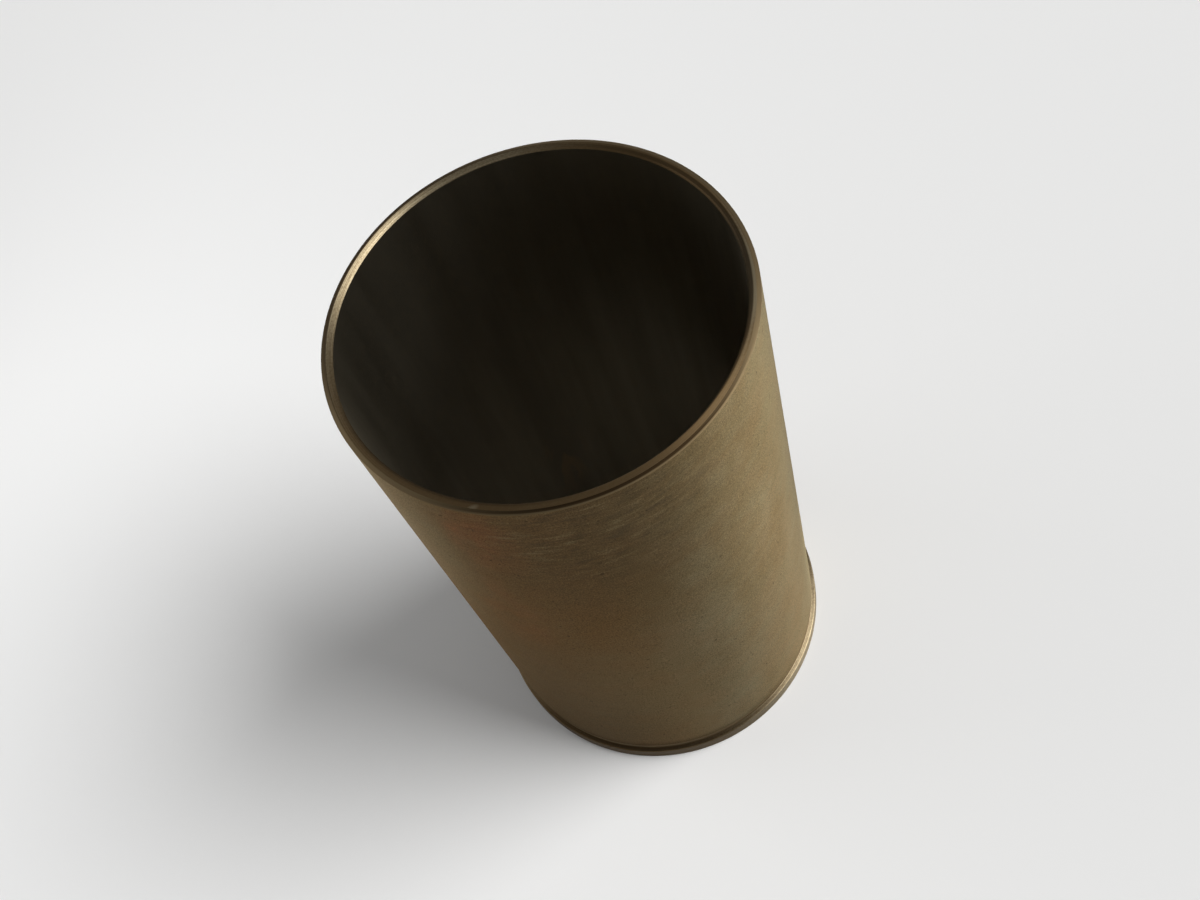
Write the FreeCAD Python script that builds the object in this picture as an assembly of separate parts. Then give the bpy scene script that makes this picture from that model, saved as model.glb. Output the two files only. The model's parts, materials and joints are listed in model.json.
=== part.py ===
# Dry cylinder liner for a piston engine: one turned, ground and honed iron sleeve.
# Millimetres. It stands on its flange end: the origin is the centre of the flange's
# end face, +Z runs along the bore to the skirt end.
import FreeCAD, Part
import math
import os

# Bore and wall
bore_diameter = 100.0
wall_thickness = 3.0
overall_length = 179.0

# Flange that hangs the liner in the counterbore of the block
flange_projection = 1.2
flange_height = 5.3
flange_seat_edge = 0.25
flange_face_edge = 0.5

# Grinding relief turned into the wall beside the flange seat
relief_width = 2.8
relief_depth = 0.3
relief_corner_radius = 0.25
relief_runout_angle = 30.0

# Bore edges, cut at 45 degrees
bore_edge_at_flange = 0.6
bore_edge_at_skirt = 0.4

# Shallow bevel round the outside of the skirt end, rounded into the ground wall
skirt_bevel_width = 1.1
skirt_bevel_height = 0.3
skirt_edge_radius = 0.2

bore_radius = bore_diameter / 2
wall_radius = bore_radius + wall_thickness
flange_radius = wall_radius + flange_projection
relief_radius = wall_radius - relief_depth
relief_end = flange_height + relief_width


class Profile:
    """A chain of straight and rounded edges in the XZ plane, as (radius, height) points."""

    def __init__(self, radius, height):
        self.start = self.here = (radius, height)
        self.edges = []

    def vector(self, point):
        return FreeCAD.Vector(point[0], 0, point[1])

    def line_to(self, radius, height):
        there = (radius, height)
        if math.dist(self.here, there) > 1e-9:
            self.edges.append(Part.LineSegment(self.vector(self.here), self.vector(there)).toShape())
        self.here = there

    def round_corner(self, corner, after, rounding):
        """Runs to the corner and rounds it towards the point after it."""
        into = unit(self.here, corner)
        out = unit(corner, after)
        turn = math.acos(into[0] * out[0] + into[1] * out[1])
        tangent = rounding * math.tan(turn / 2)
        first = (corner[0] - into[0] * tangent, corner[1] - into[1] * tangent)
        last = (corner[0] + out[0] * tangent, corner[1] + out[1] * tangent)
        inward = unit((0, 0), (out[0] - into[0], out[1] - into[1]))
        rise = rounding * (1 / math.cos(turn / 2) - 1)
        middle = (corner[0] + inward[0] * rise, corner[1] + inward[1] * rise)
        self.line_to(*first)
        arc = Part.Arc(self.vector(first), self.vector(middle), self.vector(last))
        self.edges.append(arc.toShape())
        self.here = last

    def close(self):
        self.line_to(*self.start)
        return Part.Face(Part.Wire(self.edges))


def unit(start, end):
    """The direction from one point of the section to another."""
    length = math.dist(start, end)
    return ((end[0] - start[0]) / length, (end[1] - start[1]) / length)


def flange_and_relief(section):
    """The flange's outer face, its seat and the grinding relief above the seat."""
    section.line_to(flange_radius - flange_face_edge, 0)
    section.line_to(flange_radius, flange_face_edge)
    section.line_to(flange_radius, flange_height - flange_seat_edge)
    section.line_to(flange_radius - flange_seat_edge, flange_height)
    runout_length = relief_depth / math.tan(math.radians(relief_runout_angle))
    runout_start = (relief_radius, relief_end - runout_length)
    section.round_corner((relief_radius, flange_height), runout_start, relief_corner_radius)
    section.line_to(*runout_start)
    section.line_to(wall_radius, relief_end)


def skirt_end(section):
    """The ground wall's upper edge, the shallow bevel, the turned face and the bore's lead-in."""
    bevel_foot = (wall_radius, overall_length - skirt_bevel_height)
    bevel_top = (wall_radius - skirt_bevel_width, overall_length)
    section.round_corner(bevel_foot, bevel_top, skirt_edge_radius)
    section.line_to(*bevel_top)
    section.line_to(bore_radius + bore_edge_at_skirt, overall_length)
    section.line_to(bore_radius, overall_length - bore_edge_at_skirt)


def liner_section():
    """Half of the liner's section, from the bore's edge at the flange end round to itself."""
    section = Profile(bore_radius + bore_edge_at_flange, 0)
    flange_and_relief(section)
    skirt_end(section)
    section.line_to(bore_radius, bore_edge_at_flange)
    return section.close()


def cylinder_liner():
    axis_foot = FreeCAD.Vector(0, 0, 0)
    axis_direction = FreeCAD.Vector(0, 0, 1)
    return liner_section().revolve(axis_foot, axis_direction, 360)


def main():
    os.makedirs("parts", exist_ok=True)
    shape = cylinder_liner()
    shape.exportStep("parts/cylinder_liner.step")
    print("valid", shape.isValid(), "solids", len(shape.Solids), "volume mm3", round(shape.Volume, 1))
    box = shape.optimalBoundingBox(False)
    print("box", round(box.XLength, 3), round(box.YLength, 3), round(box.ZLength, 3))


main()
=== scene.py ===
"""Dresses the cylinder liner: a fine mesh of the sleeve, its finishes and a plain studio."""
import json
import math

import bmesh
import bpy
from bpy.props import FloatProperty, FloatVectorProperty, IntProperty, PointerProperty
from mathutils import Matrix, Vector


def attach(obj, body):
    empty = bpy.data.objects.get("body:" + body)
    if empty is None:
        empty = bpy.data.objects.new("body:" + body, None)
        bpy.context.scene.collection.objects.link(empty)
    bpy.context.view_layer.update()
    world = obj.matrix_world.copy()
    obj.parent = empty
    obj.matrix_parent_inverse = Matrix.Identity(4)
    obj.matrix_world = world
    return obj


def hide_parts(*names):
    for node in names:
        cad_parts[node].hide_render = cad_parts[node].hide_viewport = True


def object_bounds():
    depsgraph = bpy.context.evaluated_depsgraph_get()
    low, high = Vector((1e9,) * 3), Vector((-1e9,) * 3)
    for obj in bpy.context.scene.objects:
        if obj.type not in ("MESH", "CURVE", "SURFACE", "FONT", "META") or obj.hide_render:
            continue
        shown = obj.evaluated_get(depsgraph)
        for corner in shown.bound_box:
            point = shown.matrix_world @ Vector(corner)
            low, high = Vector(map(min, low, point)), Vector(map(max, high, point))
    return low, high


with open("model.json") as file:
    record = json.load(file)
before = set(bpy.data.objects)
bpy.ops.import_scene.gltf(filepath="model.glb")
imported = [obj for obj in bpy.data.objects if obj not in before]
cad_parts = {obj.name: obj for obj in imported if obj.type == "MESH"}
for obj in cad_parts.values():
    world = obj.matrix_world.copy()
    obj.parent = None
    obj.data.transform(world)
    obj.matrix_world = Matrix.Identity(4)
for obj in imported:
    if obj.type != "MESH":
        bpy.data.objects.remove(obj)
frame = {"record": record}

bl_info = {
    "name": "Cylinder Liner",
    "version": (1, 0, 0),
    "blender": (4, 5, 0),
    "location": "3D View > Sidebar > Liner",
    "description": "Models and finishes a dry cylinder liner around its packed solid",
    "category": "Object",
}

NODE = "cylinder_liner"
MM = 0.001

# The camera: its picture in pixels, its film in millimetres and its nearest view in metres
PHOTO_WIDTH = 1200
FOCAL_PIXELS = 1298.8
SENSOR_WIDTH = 36.0
CLIP_START = 0.01

# The floor in metres, and how far up the surround's two levels lie, as a direction's Z
FLOOR_HALF_SIZE = 4.0
HORIZON_TOP = 0.05
ZENITH_FOOT = 0.5

# The mesh: merging distance, sharpest turn that is shaded smooth, least turn that gets a broken edge
MERGE_DISTANCE = 1e-7
SMOOTH_TURN = math.radians(6)
EDGE_TURN = math.radians(10)
EDGE_STEPS = 2

# The finish of each face, by its place in the list of materials
GROUND, TURNED, HONED, DULL = range(4)

# Telling the faces apart: most Z in an upright face's normal, and how near the wall's radius counts
UPRIGHT = 0.1
WALL_MARGIN = 0.1 * MM

# Nodes: the Mix node's sockets for colours, the usual range of a noise, and the full core of a patch
MIX_SHARE, MIX_FIRST, MIX_SECOND, MIX_RESULT = 0, 6, 7, 2
NOISE_LOW, NOISE_HIGH = 0.3, 0.7
PATCH_CORE = 0.15

# The turned face is shaded as if dished: its rise for each unit of radius
FACE_DISH = 0.33

# Honing grooves, as waves in radians: for each radian round, for each metre along, and their wander
HONE_ROUND = 240.0
HONE_ALONG = 8500.0
HONE_WANDER = 5.0

# Shares that turn the iron a little warmer or cooler
WARM_TINT = (1.01, 0.99, 0.98)
COOL_TINT = (0.98, 1.01, 1.02)

CAD_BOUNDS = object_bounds()
MOUNTS = {mount["name"]: mount for mount in frame["record"]["mounts"]}


def mount_radius(name):
    return MOUNTS[name]["dims"]["r_mm"] * MM


def mount_half_length(name):
    return MOUNTS[name]["dims"]["length_mm"] * MM / 2


WALL_FOOT = MOUNTS["outer_wall"]["pos_m"][2] - mount_half_length("outer_wall")
BORE_FOOT = MOUNTS["piston_bore"]["pos_m"][2] - mount_half_length("piston_bore")
BORE_HEAD = MOUNTS["piston_bore"]["pos_m"][2] + mount_half_length("piston_bore")


# Sizes and colours that a user may change

class LinerSizes(bpy.types.PropertyGroup):
    """The turned sleeve's section, in metres."""

    bore_radius: FloatProperty(
        name="Bore radius", description="Radius of the honed bore",
        default=mount_radius("piston_bore"), unit="LENGTH", precision=4)
    wall_radius: FloatProperty(
        name="Wall radius", description="Radius of the ground outside",
        default=mount_radius("outer_wall"), unit="LENGTH", precision=4)
    flange_radius: FloatProperty(
        name="Flange radius", description="Radius of the hanging flange",
        default=CAD_BOUNDS[1].x, unit="LENGTH", precision=4)
    length: FloatProperty(
        name="Length", description="Flange face to skirt face",
        default=CAD_BOUNDS[1].z, unit="LENGTH", precision=4)
    flange_height: FloatProperty(
        name="Flange height", description="Flange face to flange seat",
        default=MOUNTS["flange_seat"]["pos_m"][2], unit="LENGTH", precision=4)
    relief_depth: FloatProperty(
        name="Relief depth", description="Depth of the grinding relief beside the seat",
        default=0.3 * MM, unit="LENGTH", precision=5)
    relief_runout: FloatProperty(
        name="Relief run-out", description="Length of the slope out of the relief",
        default=0.52 * MM, unit="LENGTH", precision=5)
    flange_seat_edge: FloatProperty(
        name="Seat edge", description="Chamfer between seat and flange",
        default=0.25 * MM, unit="LENGTH", precision=5)
    flange_face_edge: FloatProperty(
        name="Face edge", description="Chamfer between flange and flange face",
        default=0.5 * MM, unit="LENGTH", precision=5)
    bevel_width: FloatProperty(
        name="Skirt bevel width", description="Radial width of the bevel on the skirt end",
        default=1.1 * MM, unit="LENGTH", precision=5)
    bevel_height: FloatProperty(
        name="Skirt bevel height", description="Axial height of the bevel on the skirt end",
        default=0.3 * MM, unit="LENGTH", precision=5)
    edge_radius: FloatProperty(
        name="Edge break", description="Radius left on every turned edge",
        default=0.07 * MM, unit="LENGTH", precision=5)
    facets: IntProperty(
        name="Facets", description="Steps round the sleeve", default=512, min=64, max=1024)


class FinishSettings(bpy.types.PropertyGroup):
    """Colours of the bare iron, as linear values."""

    ground_light: FloatVectorProperty(
        name="Ground, light", description="Clean ground iron of the outside",
        default=(0.19, 0.15, 0.083), subtype="COLOR", min=0, max=1)
    ground_dark: FloatVectorProperty(
        name="Ground, dark", description="Oiled ground iron of the outside",
        default=(0.15, 0.107, 0.05), subtype="COLOR", min=0, max=1)
    # Oil film and painted shade: it darkens and browns the front left of the outside.
    oil_film_and_shade: FloatVectorProperty(
        name="Oil film", description="Brown film on the side that was handled",
        default=(0.19, 0.107, 0.038), subtype="COLOR", min=0, max=1)
    handled: FloatVectorProperty(
        name="Handled", description="Reddish touch near the skirt end",
        default=(0.26, 0.115, 0.045), subtype="COLOR", min=0, max=1)
    # Also painted shade: it darkens the outside low down on both sides.
    smudge_and_shade: FloatVectorProperty(
        name="Smudge", description="Dull stretches of the front, below the skirt end and low down",
        default=(0.125, 0.083, 0.038), subtype="COLOR", min=0, max=1)
    # Also painted light: the lighter stretches on the left, the right and low on the front of the outside.
    wisp_and_painted_light: FloatVectorProperty(
        name="Wisp", description="Clean stretches of the outside, and light rubs round the skirt end",
        default=(0.3, 0.24, 0.13), subtype="COLOR", min=0, max=1)
    streak: FloatVectorProperty(
        name="Streak", description="Dark rubs round the skirt end",
        default=(0.075, 0.056, 0.034), subtype="COLOR", min=0, max=1)
    # Also the painted highlight on the right of the skirt face and the painted glint on its front edge.
    turned_light: FloatVectorProperty(
        name="Turned, light", description="Crests of the tool marks",
        default=(0.5, 0.415, 0.27), subtype="COLOR", min=0, max=1)
    turned_dark: FloatVectorProperty(
        name="Turned, dark", description="Between the tool marks",
        default=(0.25, 0.19, 0.11), subtype="COLOR", min=0, max=1)
    # Also painted shade: it darkens the flange on its front left.
    turned_oil_and_shade: FloatVectorProperty(
        name="Turned, oiled", description="Flange under brown oil",
        default=(0.15, 0.1, 0.05), subtype="COLOR", min=0, max=1)
    # Also painted shade: it darkens the skirt face all round but for its far left, where the light falls.
    face_oil_and_shade: FloatVectorProperty(
        name="Face, oiled", description="Thin oil on the turned skirt face",
        default=(0.215, 0.138, 0.062), subtype="COLOR", min=0, max=1)
    dull_light: FloatVectorProperty(
        name="Dull, light", description="Worn edge of the skirt bevel",
        default=(0.21, 0.155, 0.085), subtype="COLOR", min=0, max=1)
    # Also painted shade: darker in the corner above the flange, on the front and far left of the bevel and
    # relief, along the face's far outer edge and in the crescent.
    dull_dark: FloatVectorProperty(
        name="Dull, dark", description="Brown bevel, relief, pits and dirt that nothing rubs",
        default=(0.045, 0.028, 0.013), subtype="COLOR", min=0, max=1)
    honed: FloatVectorProperty(
        name="Honed", description="Plateau of the honed bore",
        default=(0.33, 0.29, 0.215), subtype="COLOR", min=0, max=1)
    stain: FloatVectorProperty(
        name="Stain", description="Dried oil low in the bore",
        default=(0.37, 0.28, 0.18), subtype="COLOR", min=0, max=1)


class StudioSettings(bpy.types.PropertyGroup):
    """Camera, lamps and floor."""

    camera_place: FloatVectorProperty(
        name="Camera", description="Camera's place in the object's frame",
        default=(0.0015, -0.1898, 0.4191), subtype="TRANSLATION", precision=4)
    camera_tilt: FloatProperty(
        name="Tilt", description="Camera's angle away from straight down",
        default=math.radians(31.62), subtype="ANGLE")
    camera_roll: FloatProperty(
        name="Roll", description="Camera's turn about its own view",
        default=math.radians(-22.88), subtype="ANGLE")
    floor_colour: FloatVectorProperty(
        name="Floor", description="Plain pale floor",
        default=(0.86, 0.86, 0.855), subtype="COLOR", min=0, max=1)
    horizon_level: FloatProperty(
        name="Horizon", description="Strength of the even light near the floor", default=0.7, min=0)
    zenith_level: FloatProperty(
        name="Zenith", description="Strength of the even light overhead", default=0.15, min=0)
    key_azimuth: FloatProperty(
        name="Key azimuth", description="Key lamp's bearing from +X",
        default=math.radians(-15), subtype="ANGLE")
    key_elevation: FloatProperty(
        name="Key elevation", description="Key lamp's angle above the floor",
        default=math.radians(44), subtype="ANGLE")
    key_spread: FloatProperty(
        name="Key spread", description="Width of the key lamp, as seen from the object",
        default=math.radians(42), subtype="ANGLE")
    key_strength: FloatProperty(
        name="Key", description="Strength of the key lamp on the right", default=3.2, min=0)
    fill_place: FloatVectorProperty(
        name="Fill place", description="Place of the small lamp on the left",
        default=(-0.3, 0.15, 0.27), subtype="TRANSLATION", precision=3)
    fill_size: FloatProperty(
        name="Fill size", description="Side of the small lamp on the left",
        default=0.25, unit="LENGTH", precision=3)
    fill_power: FloatProperty(
        name="Fill", description="Power of the small lamp on the left", default=0.25, unit="POWER")


# Node helpers

class Finish:
    """A material under construction: its node tree, and short ways to add nodes to it."""

    def __init__(self, name):
        self.material = bpy.data.materials.new(name)
        self.material.use_nodes = True
        self.tree = self.material.node_tree
        self.shader = self.tree.nodes["Principled BSDF"]
        self.place = self.add("ShaderNodeTexCoord").outputs["Object"]

    def add(self, kind, inputs=None, **settings):
        node = self.tree.nodes.new(kind)
        for name, value in settings.items():
            setattr(node, name, value)
        for name, value in (inputs or {}).items():
            self.feed(node.inputs[name], value)
        return node

    def feed(self, socket, value):
        if isinstance(value, bpy.types.NodeSocket):
            self.tree.links.new(value, socket)
        else:
            socket.default_value = value

    def number(self, operation, *values, clamp=False):
        node = self.add("ShaderNodeMath", operation=operation, use_clamp=clamp)
        for socket, value in zip(node.inputs, values):
            self.feed(socket, value)
        return node.outputs[0]

    def times(self, first, second):
        return self.number("MULTIPLY", first, second)

    def most(self, first, *others):
        """The largest of several shares."""
        for other in others:
            first = self.number("MAXIMUM", first, other)
        return first

    def vector(self, operation, *values):
        node = self.add("ShaderNodeVectorMath", operation=operation)
        for socket, value in zip(node.inputs, values):
            self.feed(socket, value)
        return node.outputs["Value" if operation in ("LENGTH", "DOT_PRODUCT") else "Vector"]

    def axes(self):
        split = self.add("ShaderNodeSeparateXYZ", {"Vector": self.place})
        return split.outputs["X"], split.outputs["Y"], split.outputs["Z"]

    def height(self):
        return self.axes()[2]

    def level(self):
        """The place without its height."""
        return self.vector("MULTIPLY", self.place, (1, 1, 0))

    def radius(self):
        return self.vector("LENGTH", self.level())

    def stretched(self, across, along):
        """The place in metres, times one scale across X and Y and another along Z."""
        return self.vector("MULTIPLY", self.place, (across, across, along))

    def lathe(self, across, along):
        """A place whose Z runs with height plus radius, for rings on walls, faces and chamfers."""
        x, y, z = self.axes()
        joined = self.add("ShaderNodeCombineXYZ", {
            "X": self.times(x, across), "Y": self.times(y, across),
            "Z": self.times(self.number("ADD", z, self.radius()), along)})
        return joined.outputs["Vector"]

    def noise(self, where, detail=3.0, roughness=0.55, distortion=0.0):
        node = self.add("ShaderNodeTexNoise", {
            "Vector": where, "Scale": 1.0, "Detail": detail, "Roughness": roughness,
            "Distortion": distortion})
        return node.outputs["Fac"]

    def ramp(self, value, low, high, to_low=0.0, to_high=1.0, smooth=True):
        """A value between low and high, brought between two others."""
        node = self.add("ShaderNodeMapRange", {
            "Value": value, "From Min": low, "From Max": high, "To Min": to_low, "To Max": to_high},
            interpolation_type="SMOOTHSTEP" if smooth else "LINEAR")
        return node.outputs["Result"]

    def spread(self, noise, to_low=0.0, to_high=1.0, smooth=True):
        """A noise, its usual range brought between two values."""
        return self.ramp(noise, NOISE_LOW, NOISE_HIGH, to_low, to_high, smooth)

    def mix(self, share, first, second):
        node = self.add("ShaderNodeMix", data_type="RGBA")
        self.feed(node.inputs[MIX_SHARE], share)
        self.feed(node.inputs[MIX_FIRST], colour(first))
        self.feed(node.inputs[MIX_SECOND], colour(second))
        return node.outputs[MIX_RESULT]

    def shade(self, base, share):
        """A colour made lighter or darker by a share round 1."""
        return self.vector("MULTIPLY", base, share)

    def reach(self, centre, half_sizes):
        """Distance from a centre, 1 on the ellipsoid with those half sizes. A half size of 0 is left out."""
        away = self.vector("SUBTRACT", self.place, centre)
        shares = [1 / half_size if half_size else 0 for half_size in half_sizes]
        return self.vector("LENGTH", self.vector("MULTIPLY", away, shares))

    def patch(self, centre, half_sizes, share=1.0):
        """A soft spot: its share at the centre, nothing past its half sizes."""
        return self.ramp(self.reach(centre, half_sizes), PATCH_CORE, 1.0, share, 0.0)

    def wall_patch(self, sizes, turn, below_head, across, along, share=1.0):
        """A soft spot on the outside, at a bearing and a distance below the skirt end."""
        centre = around(sizes.wall_radius, turn, sizes.length - below_head)
        return self.patch(centre, (across, across, along), share)

    def facing(self, turn, fades_at):
        """1 where the sleeve faces a bearing, 0 where the cosine of its angle from it is fades_at."""
        towards = self.vector("DOT_PRODUCT", self.vector("NORMALIZE", self.level()), around(1, turn, 0))
        return self.ramp(towards, fades_at, 1.0)

    def bump(self, height, depth, before=None):
        """A bump of some depth in metres, on top of the one before."""
        node = self.add("ShaderNodeBump", {"Height": height, "Distance": depth, "Strength": 1.0})
        if before is not None:
            self.feed(node.inputs["Normal"], before)
        return node.outputs["Normal"]

    def metal(self, base, roughness, anisotropy, normal=None):
        """Sets the shader: bare iron, whose grooves run round the sleeve's axis."""
        shader = self.shader.inputs
        shader["Metallic"].default_value = 1.0
        self.feed(shader["Base Color"], base)
        self.feed(shader["Roughness"], roughness)
        shader["Anisotropic"].default_value = anisotropy
        shader["Anisotropic Rotation"].default_value = 0.25
        tangent = self.add("ShaderNodeTangent", direction_type="RADIAL", axis="Z")
        self.feed(shader["Tangent"], tangent.outputs["Tangent"])
        if normal is not None:
            self.feed(shader["Normal"], normal)
        return self.material


def colour(value):
    """A colour as a socket or as four numbers."""
    if isinstance(value, bpy.types.NodeSocket) or len(value) == 4:
        return value
    return (*value, 1.0)


def around(radius, turn, height):
    """A point at a radius from the axis and a bearing, in degrees from +X. The camera stands at 270."""
    angle = math.radians(turn)
    return radius * math.cos(angle), radius * math.sin(angle), height


# Finishes

def ground_iron(colours, sizes):
    """The outside: satin ground iron under patches of oil, with rubs near the skirt end, and painted light
    and shade: darker on the front left, lighter stretches where the lamps' light falls, and darker low down
    and above the flange.
    """
    iron = Finish("ground_iron")
    clouds = iron.noise(iron.stretched(18, 9), detail=4, roughness=0.6)
    mottle = iron.noise(iron.stretched(150, 260), detail=4, roughness=0.7)
    tone = iron.number("ADD", iron.spread(clouds), iron.spread(mottle, -0.2, 0.2), clamp=True)
    base = iron.mix(tone, colours.ground_dark, colours.ground_light)
    base = oil_film_and_shade(iron, base, clouds, colours)
    base = light_and_shade_patches(iron, base, colours, sizes)
    base = corner_shade(iron, base, colours, sizes)
    base = rubs(iron, base, mottle, colours, sizes)

    grain = iron.noise(iron.stretched(2700, 2700), detail=2, roughness=0.8)
    base = iron.shade(base, iron.spread(grain, 0.55, 1.45, smooth=False))
    tints = iron.noise(iron.stretched(70, 110), detail=4, roughness=0.65)
    base = iron.shade(base, iron.mix(iron.ramp(tints, 0.35, 0.65), WARM_TINT, COOL_TINT))
    base = iron.mix(iron.times(pits(iron, sizes), 0.6), base, colours.dull_dark)

    lines = iron.noise(iron.stretched(60, 5200), detail=2, roughness=0.7)
    roughness = iron.number("ADD", iron.spread(clouds, 0.73, 0.67), iron.spread(lines, -0.04, 0.04))
    normal = iron.bump(lines, 0.002 * MM, iron.bump(grain, 0.002 * MM))
    return iron.metal(base, roughness, anisotropy=0.83, normal=normal)


def oil_film_and_shade(iron, base, clouds, colours):
    """A brown film of oil on the front left, which also paints shade there: the left is darker and browner,
    away from the key lamp.
    """
    # Painted shade and oil: darker and browner towards the front left.
    film = iron.times(iron.facing(223, fades_at=0.42), iron.ramp(clouds, 0.2, 0.6, 0.98, 0.75))
    return iron.mix(film, base, colours.oil_film_and_shade)


def light_and_shade_patches(iron, base, colours, sizes):
    """Painted light and shade: lighter stretches on the left, the right and low on the front, and darker
    ones low on both sides.
    """
    # Painted light: lighter stretches where the lamps' light falls on the wall.
    painted_light = iron.most(
        iron.wall_patch(sizes, 205, below_head=10 * MM, across=28 * MM, along=90 * MM, share=0.5),
        iron.wall_patch(sizes, 345, below_head=0, across=36 * MM, along=100 * MM, share=0.7),
        iron.wall_patch(sizes, 254, below_head=135 * MM, across=30 * MM, along=75 * MM, share=0.3),
        iron.wall_patch(sizes, 350, below_head=155 * MM, across=20 * MM, along=80 * MM, share=0.95))
    base = iron.mix(painted_light, base, colours.wisp_and_painted_light)
    # Painted shade: darker low on the front left and low on the right.
    painted_shade = iron.most(
        iron.times(iron.facing(213, fades_at=0.5), iron.ramp(iron.height(), 130 * MM, 0)),
        iron.wall_patch(sizes, 312, below_head=140 * MM, across=26 * MM, along=80 * MM, share=0.5))
    return iron.mix(painted_shade, base, colours.smudge_and_shade)


def corner_shade(iron, base, colours, sizes):
    """Painted shade in the corner above the flange, at the front and on the right."""
    above_flange = iron.ramp(iron.height(), WALL_FOOT, WALL_FOOT + 4 * MM, 0.45, 0.0)
    front = iron.times(above_flange, iron.facing(245, fades_at=0.2))
    to_seat = sizes.length - sizes.flange_height
    right = iron.wall_patch(sizes, 326, below_head=to_seat, across=20 * MM, along=6 * MM, share=0.35)
    return iron.mix(iron.most(front, right), base, colours.dull_dark)


def rubs(iron, base, mottle, colours, sizes):
    """Marks of handling: a reddish touch, a dull front, and light and dark streaks round the skirt end."""
    blotches = iron.noise(iron.stretched(120, 90))
    touched = iron.most(
        iron.wall_patch(sizes, 233, below_head=14 * MM, across=13 * MM, along=24 * MM),
        iron.wall_patch(sizes, 229, below_head=60 * MM, across=13 * MM, along=34 * MM, share=0.35))
    base = iron.mix(iron.times(touched, iron.ramp(blotches, 0.3, 0.65)), base, colours.handled)

    dulled = iron.wall_patch(sizes, 262, below_head=18 * MM, across=42 * MM, along=62 * MM, share=0.85)
    base = iron.mix(iron.times(dulled, iron.ramp(mottle, 0.3, 0.6, 1.0, 0.6)), base, colours.smudge_and_shade)

    rubbed = iron.wall_patch(sizes, 262, below_head=12 * MM, across=46 * MM, along=36 * MM, share=0.85)
    streaks = iron.noise(iron.stretched(110, 560), detail=4, roughness=0.7, distortion=0.4)
    base = iron.mix(iron.times(rubbed, iron.ramp(streaks, 0.5, 0.7, 0.0, 0.42)), base, colours.wisp_and_painted_light)
    return iron.mix(iron.times(rubbed, iron.ramp(streaks, 0.5, 0.36, 0.0, 0.6)), base, colours.streak)


def pits(iron, sizes):
    """Fine specks all over, and one larger pit on the front right."""
    specks = iron.ramp(iron.noise(iron.stretched(700, 700), detail=0), 0.19, 0.15)
    pit = iron.wall_patch(sizes, 291.2, below_head=57.3 * MM, across=0.8 * MM, along=0.8 * MM)
    return iron.most(specks, pit)


def turned_iron(colours, sizes):
    """Faces, chamfers and flange: tool rings under thin oil, with painted shade, a painted highlight and a
    painted glint.
    """
    iron = Finish("turned_iron")
    rings = iron.noise(iron.lathe(25, 4200), roughness=0.65)
    grain = iron.noise(iron.stretched(1800, 1800), detail=2)
    tone = iron.number("ADD", iron.spread(rings), iron.ramp(grain, 0.2, 0.8, -0.35, 0.35), clamp=True)
    base = iron.mix(tone, colours.turned_dark, colours.turned_light)
    at_head = iron.ramp(iron.height(), sizes.length - 1.0 * MM, sizes.length - 0.6 * MM)
    flange = flange_colour(iron, base, colours, sizes)
    base = iron.mix(at_head, flange, face_colour(iron, base, colours, sizes))

    inside_bevel = iron.number("MINIMUM", iron.radius(), sizes.wall_radius - sizes.bevel_width)
    dished = iron.bump(iron.times(inside_bevel, FACE_DISH), 1.0)
    normal = iron.bump(rings, 0.004 * MM, iron.bump(grain, 0.003 * MM, dished))
    return iron.metal(base, iron.spread(rings, 0.51, 0.45), anisotropy=0.88, normal=normal)


def flange_colour(iron, base, colours, sizes):
    """The flange: oil with painted shade on its front left, and painted shade round its side."""
    # Oil and painted shade: darker on the flange's front left.
    base = iron.mix(iron.times(iron.facing(228, fades_at=0.2), 0.9), base, colours.turned_oil_and_shade)
    # Painted shade: the flange's side darker than its seat.
    side_from = sizes.flange_radius - 0.12 * MM
    side_to = sizes.flange_radius - 0.02 * MM
    return iron.shade(base, iron.ramp(iron.radius(), side_from, side_to, 1.0, 0.55))


def face_colour(iron, base, colours, sizes):
    """The skirt face: thin oil with painted shade all round but for its far left, a painted highlight on the
    right, dark edges, partly painted shade, and a painted glint.
    """
    # Oil and painted shade: darker all round but for the lit far left.
    oiled_and_shaded = iron.most(
        iron.facing(225, fades_at=0.3), iron.facing(280, fades_at=0.1), iron.facing(35, fades_at=0.65))
    base = iron.mix(iron.times(oiled_and_shaded, 0.9), base, colours.face_oil_and_shade)
    bevel_start = sizes.wall_radius - sizes.bevel_width
    # Painted highlight: a lighter stretch on the right of the face, where the key lamp's light falls.
    highlight_at = around(bevel_start + 0.1 * MM, 342, sizes.length)
    rubbed = iron.patch(highlight_at, (16 * MM, 16 * MM, 4 * MM), share=0.85)
    base = iron.mix(rubbed, base, colours.turned_light)

    # Painted dark reflection: the face's outer edge darker on the far left.
    outer_edge = iron.ramp(iron.radius(), bevel_start - 0.35 * MM, bevel_start - 0.15 * MM)
    far_edge = iron.times(outer_edge, iron.facing(130, fades_at=0.3))
    base = iron.mix(iron.times(far_edge, 0.85), base, colours.dull_dark)
    inner_edge = iron.ramp(iron.radius(), sizes.bore_radius + 1.2 * MM, sizes.bore_radius + 0.2 * MM)
    left_edge = iron.times(inner_edge, iron.facing(222, fades_at=0.6))
    dark = iron.most(iron.times(crescent(iron, sizes), 0.87), iron.times(left_edge, 0.6))
    base = iron.mix(dark, base, colours.dull_dark)

    # Painted glint on the face's front outer edge.
    glint_at = around(bevel_start - 0.1 * MM, 236, sizes.length)
    glint = iron.patch(glint_at, (2.0 * MM, 1.0 * MM, 1.0 * MM), share=0.6)
    return iron.mix(glint, base, colours.turned_light)


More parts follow.
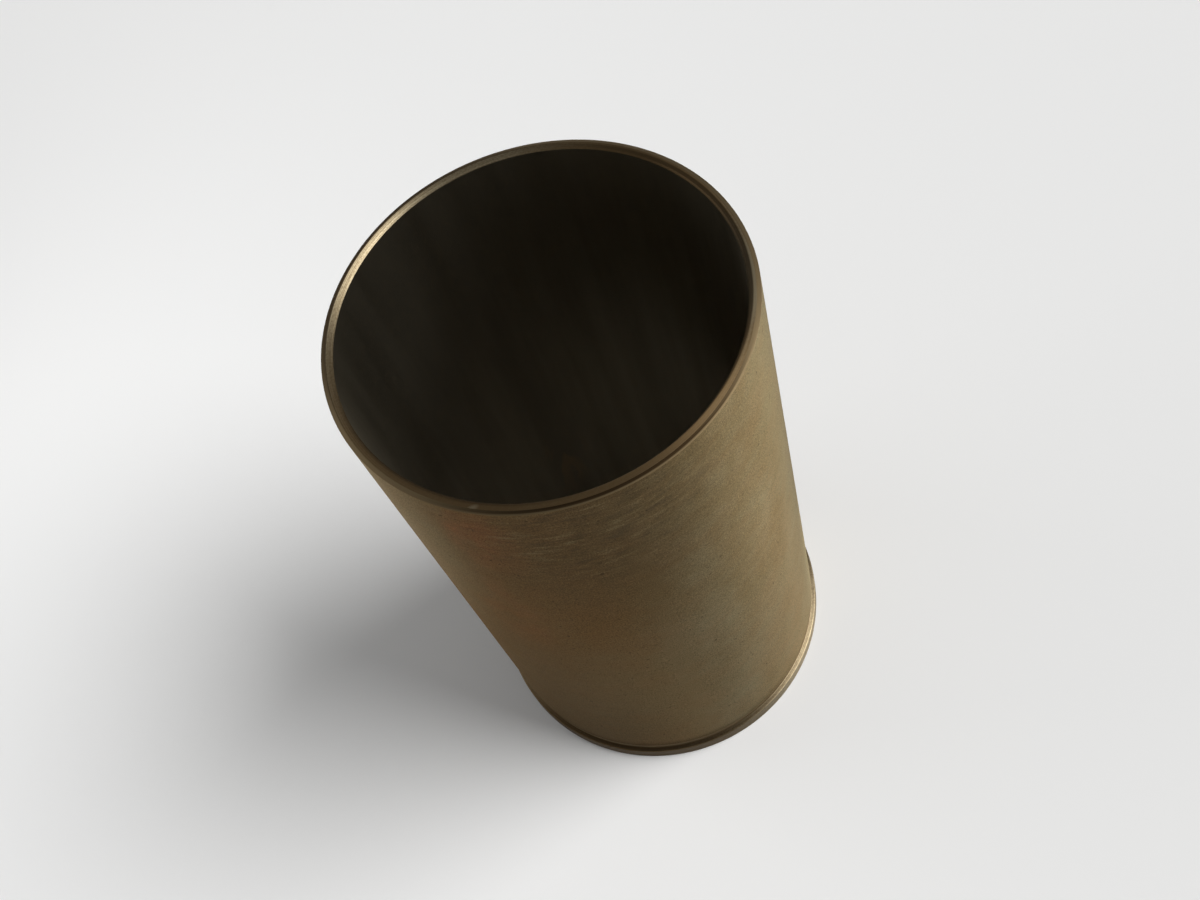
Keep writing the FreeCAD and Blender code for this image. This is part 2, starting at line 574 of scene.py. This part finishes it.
def crescent(iron, sizes):
    """The dark crescent on the right: painted shade standing in for a chamfer on the bore's edge, dressed
    off centre.
    """
    centre = (0.56 * MM, 0.4 * MM, 0)
    half_sizes = (sizes.bore_radius + 0.8 * MM, sizes.bore_radius + 0.5 * MM, 0)
    dressed = iron.ramp(iron.reach(centre, half_sizes), 1.005, 0.996)
    return iron.times(dressed, iron.facing(335, fades_at=-0.35))


def dull_iron(colours, sizes):
    """The skirt bevel and the relief: painted shade and dark reflection, brown at the front and the far
    left, and worn along the bevel's edge.
    """
    iron = Finish("dull_iron")
    worn_from = sizes.wall_radius - 0.5 * sizes.bevel_width
    unworn = iron.ramp(iron.radius(), worn_from, sizes.wall_radius - 0.2 * MM, 1.0, 0.15)
    # Painted shade and dark reflection: darker brown on the front and the far left.
    front = iron.times(iron.facing(275, fades_at=0.5), unworn)
    far = iron.times(iron.facing(130, fades_at=0.35), 0.9)
    rings = iron.noise(iron.lathe(25, 3000))
    brown = iron.number("ADD", iron.most(front, far), iron.spread(rings, -0.12, 0.12), clamp=True)
    base = iron.mix(brown, colours.dull_light, colours.dull_dark)
    return iron.metal(base, roughness=0.58, anisotropy=0.5)


def honed_iron(colours, sizes):
    """The bore: crossed honing marks, faint bands along it, and dried oil low down."""
    iron = Finish("honed_iron")
    x, y, z = iron.axes()
    turn = iron.number("ARCTAN2", y, x)
    wander = iron.times(iron.noise(iron.stretched(300, 300), detail=1), HONE_WANDER)
    strokes = []
    for lean in (-1, 1):
        waves = iron.number("ADD", iron.times(turn, HONE_ROUND), iron.times(z, lean * HONE_ALONG))
        strokes.append(iron.number("SINE", iron.number("ADD", waves, wander)))
    bands = iron.noise(iron.stretched(90, 6))
    darker = [0.8 * part for part in colours.honed]
    base = iron.mix(iron.spread(bands), darker, colours.honed)

    runs = iron.noise(iron.stretched(130, 45), distortion=1.5)
    stained_at = around(sizes.bore_radius, 102.1, 34 * MM)
    stained = iron.patch(stained_at, (11 * MM, 20 * MM, 26 * MM), share=0.8)
    base = iron.mix(iron.times(stained, iron.ramp(runs, 0.45, 0.62)), base, colours.stain)
    normal = iron.bump(iron.most(*strokes), 0.003 * MM)
    return iron.metal(base, iron.spread(bands, 0.42, 0.34), anisotropy=0.0, normal=normal)


def floor_finish(studio):
    floor = Finish("pale_floor")
    floor.shader.inputs["Base Color"].default_value = colour(studio.floor_colour)
    floor.shader.inputs["Roughness"].default_value = 0.9
    floor.shader.inputs["Specular IOR Level"].default_value = 0.1
    return floor.material


# In the order of GROUND, TURNED, HONED and DULL
FINISHES = (ground_iron, turned_iron, honed_iron, dull_iron)


# The sleeve

def section_corners(sizes):
    """The section's corners as (radius, height), from the bore's foot round by the outside to its head."""
    relief_radius = sizes.wall_radius - sizes.relief_depth
    bore_edge_at_skirt = sizes.length - BORE_HEAD
    return [
        (sizes.bore_radius, BORE_FOOT),
        (sizes.bore_radius + BORE_FOOT, 0),
        (sizes.flange_radius - sizes.flange_face_edge, 0),
        (sizes.flange_radius, sizes.flange_face_edge),
        (sizes.flange_radius, sizes.flange_height - sizes.flange_seat_edge),
        (sizes.flange_radius - sizes.flange_seat_edge, sizes.flange_height),
        (relief_radius, sizes.flange_height),
        (relief_radius, WALL_FOOT - sizes.relief_runout),
        (sizes.wall_radius, WALL_FOOT),
        (sizes.wall_radius, sizes.length - sizes.bevel_height),
        (sizes.wall_radius - sizes.bevel_width, sizes.length),
        (sizes.bore_radius + bore_edge_at_skirt, sizes.length),
        (sizes.bore_radius, BORE_HEAD),
    ]


def sharp_rings(mesh):
    """The edges round the sleeve at which its section turns enough to be broken."""
    return [edge for edge in mesh.edges if edge.calc_face_angle(0) > EDGE_TURN]


def turn_sleeve(sizes):
    """Spins the section about the axis and breaks its edges."""
    mesh = bmesh.new()
    corners = [mesh.verts.new((radius, 0, height)) for radius, height in section_corners(sizes)]
    outline = [mesh.edges.new(pair) for pair in zip(corners, corners[1:] + corners[:1])]
    bmesh.ops.spin(
        mesh, geom=corners + outline, cent=(0, 0, 0), axis=(0, 0, 1), angle=math.tau,
        steps=sizes.facets, use_merge=True)
    bmesh.ops.remove_doubles(mesh, verts=mesh.verts, dist=MERGE_DISTANCE)
    bmesh.ops.recalc_face_normals(mesh, faces=mesh.faces)
    bmesh.ops.bevel(
        mesh, geom=sharp_rings(mesh), offset=sizes.edge_radius, offset_type="OFFSET",
        affect="EDGES", segments=EDGE_STEPS, profile=0.5, material=-1, clamp_overlap=True)
    for edge in mesh.edges:
        edge.smooth = edge.calc_face_angle(0) < SMOOTH_TURN
    return mesh


def zone_of(face, sizes):
    """Which finish a face takes."""
    centre = face.calc_center_median()
    outward = face.normal.x * centre.x + face.normal.y * centre.y
    radius = math.hypot(centre.x, centre.y)
    upright = abs(face.normal.z) < UPRIGHT
    if upright and outward < 0:
        return HONED
    if upright and outward > 0 and abs(radius - sizes.wall_radius) < WALL_MARGIN:
        return GROUND
    bevel_start = sizes.wall_radius - sizes.bevel_width
    on_bevel = centre.z > sizes.length - sizes.bevel_height and radius > bevel_start
    in_relief = sizes.flange_height < centre.z < WALL_FOOT and outward > 0
    return DULL if on_bevel or in_relief else TURNED


class LINER_OT_sleeve(bpy.types.Operator):
    """Model the sleeve and give each surface its finish"""

    bl_idname = "liner.sleeve"
    bl_label = "Sleeve"

    def execute(self, context):
        sizes = context.scene.liner_sizes
        mesh = turn_sleeve(sizes)
        for face in mesh.faces:
            face.smooth = True
            face.material_index = zone_of(face, sizes)
        data = bpy.data.meshes.new("turned_sleeve")
        mesh.to_mesh(data)
        mesh.free()
        for finish in FINISHES:
            data.materials.append(finish(context.scene.liner_finish, sizes))
        sleeve = bpy.data.objects.new("turned_sleeve", data)
        context.scene.collection.objects.link(sleeve)
        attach(sleeve, "root")
        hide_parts(NODE)
        return {"FINISHED"}


# The studio

def aim(lamp, direction):
    """Turns a lamp so that it shines along a direction."""
    lamp.rotation_euler = Vector(direction).to_track_quat("-Z", "Y").to_euler()


def hang(scene, name, kind, strength):
    """Adds a lamp that lights the scene and never shows in a picture."""
    light = bpy.data.lights.new(name, kind)
    light.energy = strength
    lamp = bpy.data.objects.new(name, light)
    lamp.visible_camera = False
    scene.collection.objects.link(lamp)
    return lamp


class LINER_OT_stage(bpy.types.Operator):
    """Lay the floor, hang the lamps and set the camera"""

    bl_idname = "liner.stage"
    bl_label = "Stage"

    def execute(self, context):
        scene = context.scene
        studio = scene.liner_studio
        self.lay_floor(scene, studio)
        self.light(scene, studio)
        self.set_camera(scene, studio)
        scene.view_settings.view_transform = "Standard"
        return {"FINISHED"}

    def lay_floor(self, scene, studio):
        mesh = bmesh.new()
        bmesh.ops.create_grid(mesh, x_segments=1, y_segments=1, size=FLOOR_HALF_SIZE)
        data = bpy.data.meshes.new("floor")
        mesh.to_mesh(data)
        mesh.free()
        data.materials.append(floor_finish(studio))
        floor = bpy.data.objects.new("floor", data)
        scene.collection.objects.link(floor)

    def light(self, scene, studio):
        """The even surround, a broad key lamp on the right and a small lamp on the left."""
        scene.world = self.even_light(studio)
        key = hang(scene, "key", "SUN", studio.key_strength)
        key.data.angle = studio.key_spread
        from_axis = math.cos(studio.key_elevation)
        aim(key, (
            -from_axis * math.cos(studio.key_azimuth), -from_axis * math.sin(studio.key_azimuth),
            -math.sin(studio.key_elevation)))
        fill = hang(scene, "fill", "AREA", studio.fill_power)
        fill.data.size = studio.fill_size
        fill.location = studio.fill_place
        aim(fill, Vector((0, 0, CAD_BOUNDS[1].z)) - Vector(studio.fill_place))

    def even_light(self, studio):
        """A white surround, brightest near the floor and dim overhead."""
        world = bpy.data.worlds.new("even_light")
        world.use_nodes = True
        tree = world.node_tree
        place = tree.nodes.new("ShaderNodeTexCoord")
        split = tree.nodes.new("ShaderNodeSeparateXYZ")
        level = tree.nodes.new("ShaderNodeMapRange")
        level.interpolation_type = "SMOOTHSTEP"
        level.inputs["From Min"].default_value = HORIZON_TOP
        level.inputs["From Max"].default_value = ZENITH_FOOT
        level.inputs["To Min"].default_value = studio.horizon_level
        level.inputs["To Max"].default_value = studio.zenith_level
        sky = tree.nodes["Background"].inputs
        sky["Color"].default_value = (1, 1, 1, 1)
        tree.links.new(place.outputs["Generated"], split.inputs["Vector"])
        tree.links.new(split.outputs["Z"], level.inputs["Value"])
        tree.links.new(level.outputs["Result"], sky["Strength"])
        return world

    def set_camera(self, scene, studio):
        lens = bpy.data.cameras.new("camera")
        lens.sensor_width = SENSOR_WIDTH
        lens.lens = SENSOR_WIDTH * FOCAL_PIXELS / PHOTO_WIDTH
        lens.clip_start = CLIP_START
        camera = bpy.data.objects.new("camera", lens)
        tilt = Matrix.Rotation(studio.camera_tilt, 4, "X")
        roll = Matrix.Rotation(studio.camera_roll, 4, "Z")
        camera.matrix_world = Matrix.Translation(studio.camera_place) @ tilt @ roll
        scene.collection.objects.link(camera)
        scene.camera = camera


# Panel and registration

class LINER_PT_panel(bpy.types.Panel):
    """The liner's steps and sizes, in the sidebar"""

    bl_idname = "LINER_PT_panel"
    bl_label = "Cylinder Liner"
    bl_space_type = "VIEW_3D"
    bl_region_type = "UI"
    bl_category = "Liner"

    def draw(self, context):
        for operator in OPERATORS:
            self.layout.operator(operator.bl_idname)
        for name, group in GROUPS.items():
            box = self.layout.box()
            for prop in group.__annotations__:
                box.prop(getattr(context.scene, name), prop)


OPERATORS = (LINER_OT_sleeve, LINER_OT_stage)
GROUPS = {"liner_sizes": LinerSizes, "liner_finish": FinishSettings, "liner_studio": StudioSettings}


def register():
    for cls in (*GROUPS.values(), *OPERATORS, LINER_PT_panel):
        bpy.utils.register_class(cls)
    for name, group in GROUPS.items():
        setattr(bpy.types.Scene, name, PointerProperty(type=group))


def unregister():
    for name in GROUPS:
        delattr(bpy.types.Scene, name)
    for cls in (LINER_PT_panel, *reversed(OPERATORS), *GROUPS.values()):
        bpy.utils.unregister_class(cls)


def main():
    register()
    bpy.ops.liner.sleeve()
    bpy.ops.liner.stage()


if __name__ == "__main__":
    main()
